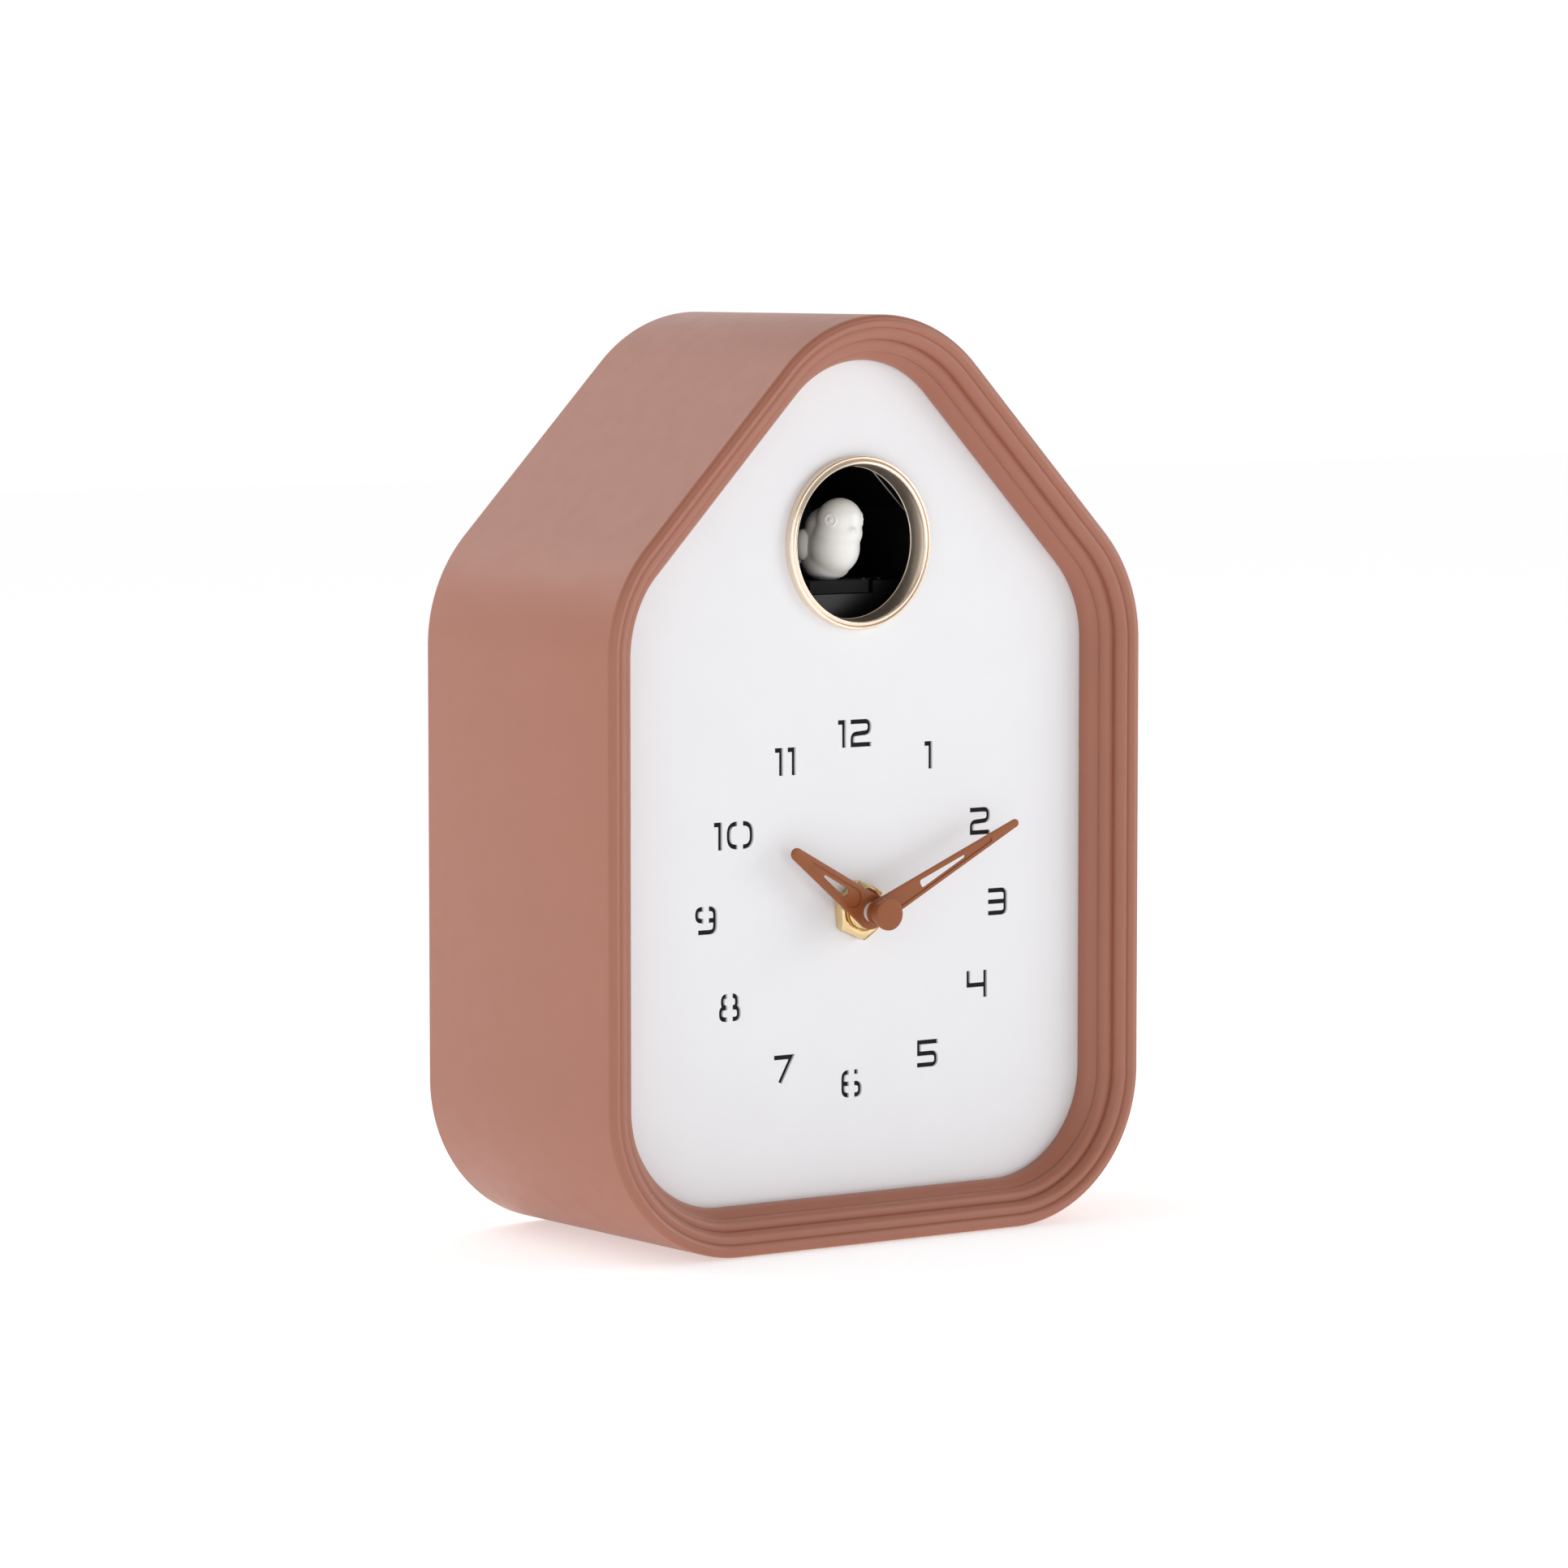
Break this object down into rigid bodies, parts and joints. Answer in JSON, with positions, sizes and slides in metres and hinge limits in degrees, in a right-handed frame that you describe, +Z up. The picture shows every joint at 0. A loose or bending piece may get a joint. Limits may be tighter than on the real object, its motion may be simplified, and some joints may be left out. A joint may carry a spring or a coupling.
{
  "type": "cuckoo clock",
  "caption": "House-shaped cuckoo clock: ridged rim round a recessed dial, slotted hands, and a round port through which a small bird slides out on a geared carriage.",
  "frame": {"origin": "centre of the flat base, midway between the front rim and the back edge", "axes": "+X right seen from the front, +Y from the dial to the back, +Z up"},
  "size_m": [0.148, 0.0779, 0.21],
  "materials": {
    "terracotta_abs": "moulded, fine grain",
    "white_abs": "satin",
    "black_sheet": "matt",
    "champagne_metal": "polished, champagne gold",
    "black_abs": "moulded",
    "zinc_steel": "zinc plated",
    "copper_paint": "satin metallic",
    "brass": "turned",
    "white_nylon": "moulded",
    "copper_wire": "enamelled wire",
    "green_board": "solder mask",
    "white_satin": "satin",
    "black_gloss": "gloss",
    "clear_lens": "clear",
    "cell_sleeve": "printed sleeve, plain"
  },
  "bodies": {
    "case": {"case_shell": "terracotta_abs", "dial_plate": "white_abs", "dial_backing": "black_sheet", "port_ring": "champagne_metal", "chassis": "black_abs", "chassis_screws": "zinc_steel", "dial_washer": "brass", "shaft_nut": "brass", "shaft_bush": "brass", "movement_front": "black_abs", "movement_rear": "black_abs", "stator": "zinc_steel", "coil": "copper_wire", "movement_board": "green_board", "bird_chamber": "black_abs", "chamber_screws": "zinc_steel", "carriage_guide": "black_abs", "motor_bracket": "black_abs", "motor": "zinc_steel", "sound_board": "green_board", "board_screws": "zinc_steel", "speaker": "black_abs", "light_sensor": "clear_lens", "battery_box": "black_abs", "battery_springs": "zinc_steel", "battery_plates": "zinc_steel", "battery_1": "cell_sleeve", "battery_2": "cell_sleeve", "battery_3": "cell_sleeve", "back_cover": "terracotta_abs", "cover_screws": "zinc_steel"},
    "minute": {"minute_arbor": "brass", "minute_hand": "copper_paint", "hub_cap": "copper_paint"},
    "hour": {"hour_wheel": "white_nylon", "hour_hand": "copper_paint"},
    "minute_wheel": {"minute_wheel": "white_nylon"},
    "setting": {"set_pinion": "white_nylon", "set_knob": "black_abs"},
    "rotor": {"rotor": "zinc_steel"},
    "fifth": {"fifth_wheel": "white_nylon"},
    "fourth": {"fourth_wheel": "white_nylon"},
    "third": {"third_wheel": "white_nylon"},
    "centre": {"centre_wheel": "white_nylon"},
    "bird": {"bird_carriage": "black_abs", "bird_body": "white_satin", "bird_wings": "white_satin", "bird_eyes": "black_gloss", "bird_beak": "white_satin"},
    "drive": {"rack_pinion": "white_nylon", "drive_gear": "white_nylon"},
    "motor_shaft": {"motor_pinion": "brass"},
    "volume": {"volume_knob": "black_abs"},
    "mode": {"mode_switch": "black_abs"},
    "button": {"test_button": "black_abs"},
    "door": {"battery_door": "terracotta_abs"}
  },
  "joints": [
    {"name": "minute_turn", "type": "hinge", "parent": "case", "child": "minute", "pos_m": [0, 0, 0.075], "axis": [0, 1, 0], "continuous": true},
    {"name": "hour_turn", "type": "hinge", "parent": "case", "child": "hour", "pos_m": [0, 0, 0.075], "axis": [0, 1, 0], "continuous": true},
    {"name": "minute_wheel_turn", "type": "hinge", "parent": "case", "child": "minute_wheel", "pos_m": [0.01039, 0, 0.081], "axis": [0, 1, 0], "continuous": true},
    {"name": "setting_turn", "type": "hinge", "parent": "case", "child": "setting", "pos_m": [0.00805, 0, 0.09429], "axis": [0, 1, 0], "continuous": true},
    {"name": "rotor_turn", "type": "hinge", "parent": "case", "child": "rotor", "pos_m": [0.00768, 0, 0.05969], "axis": [0, 1, 0], "continuous": true},
    {"name": "fifth_turn", "type": "hinge", "parent": "case", "child": "fifth", "pos_m": [0.00204, 0, 0.06174], "axis": [0, 1, 0], "continuous": true},
    {"name": "fourth_turn", "type": "hinge", "parent": "case", "child": "fourth", "pos_m": [-0.00554, 0, 0.06307], "axis": [0, 1, 0], "continuous": true},
    {"name": "third_turn", "type": "hinge", "parent": "case", "child": "third", "pos_m": [-0.00979, 0, 0.07044], "axis": [0, 1, 0], "continuous": true},
    {"name": "centre_turn", "type": "hinge", "parent": "case", "child": "centre", "pos_m": [0, 0, 0.075], "axis": [0, 1, 0], "continuous": true},
    {"name": "bird_slide", "type": "slide", "parent": "case", "child": "bird", "axis": [0, -1, 0], "range_m": [0, 0.024]},
    {"name": "drive_turn", "type": "hinge", "parent": "case", "child": "drive", "pos_m": [0.0138, -0.01, 0.13], "axis": [0, 0, 1], "range_deg": [-5, 335]},
    {"name": "motor_turn", "type": "hinge", "parent": "case", "child": "motor_shaft", "pos_m": [0.0038, -0.01, 0.13], "axis": [0, 0, 1], "range_deg": [-1320, 20]},
    {"name": "volume_turn", "type": "hinge", "parent": "case", "child": "volume", "pos_m": [-0.02, 0, 0.113], "axis": [0, 1, 0], "range_deg": [-140, 140]},
    {"name": "mode_shift", "type": "slide", "parent": "case", "child": "mode", "axis": [1, 0, 0], "range_m": [-0.003, 0.003]},
    {"name": "test_press", "type": "slide", "parent": "case", "child": "button", "axis": [0, -1, 0], "range_m": [0, 0.0012], "stiffness_N_per_m": 200},
    {"name": "door_swing", "type": "hinge", "parent": "case", "child": "door", "pos_m": [0, 0.0364, 0.0152], "axis": [-1, 0, 0], "range_deg": [0, 100]}
  ],
  "couplings": [
    {"joint": "hour_turn", "follows": "minute_turn", "ratio": 0.083333},
    {"joint": "minute_wheel_turn", "follows": "minute_turn", "ratio": -0.33333},
    {"joint": "setting_turn", "follows": "minute_turn", "ratio": 0.66667},
    {"joint": "fifth_turn", "follows": "rotor_turn", "ratio": -0.2},
    {"joint": "fourth_turn", "follows": "rotor_turn", "ratio": 0.033333},
    {"joint": "third_turn", "follows": "rotor_turn", "ratio": -0.0044444},
    {"joint": "centre_turn", "follows": "rotor_turn", "ratio": 0.00055556},
    {"joint": "drive_turn", "follows": "bird_slide", "rad_per_m": 238.1},
    {"joint": "motor_turn", "follows": "bird_slide", "rad_per_m": -952.38}
  ]
}
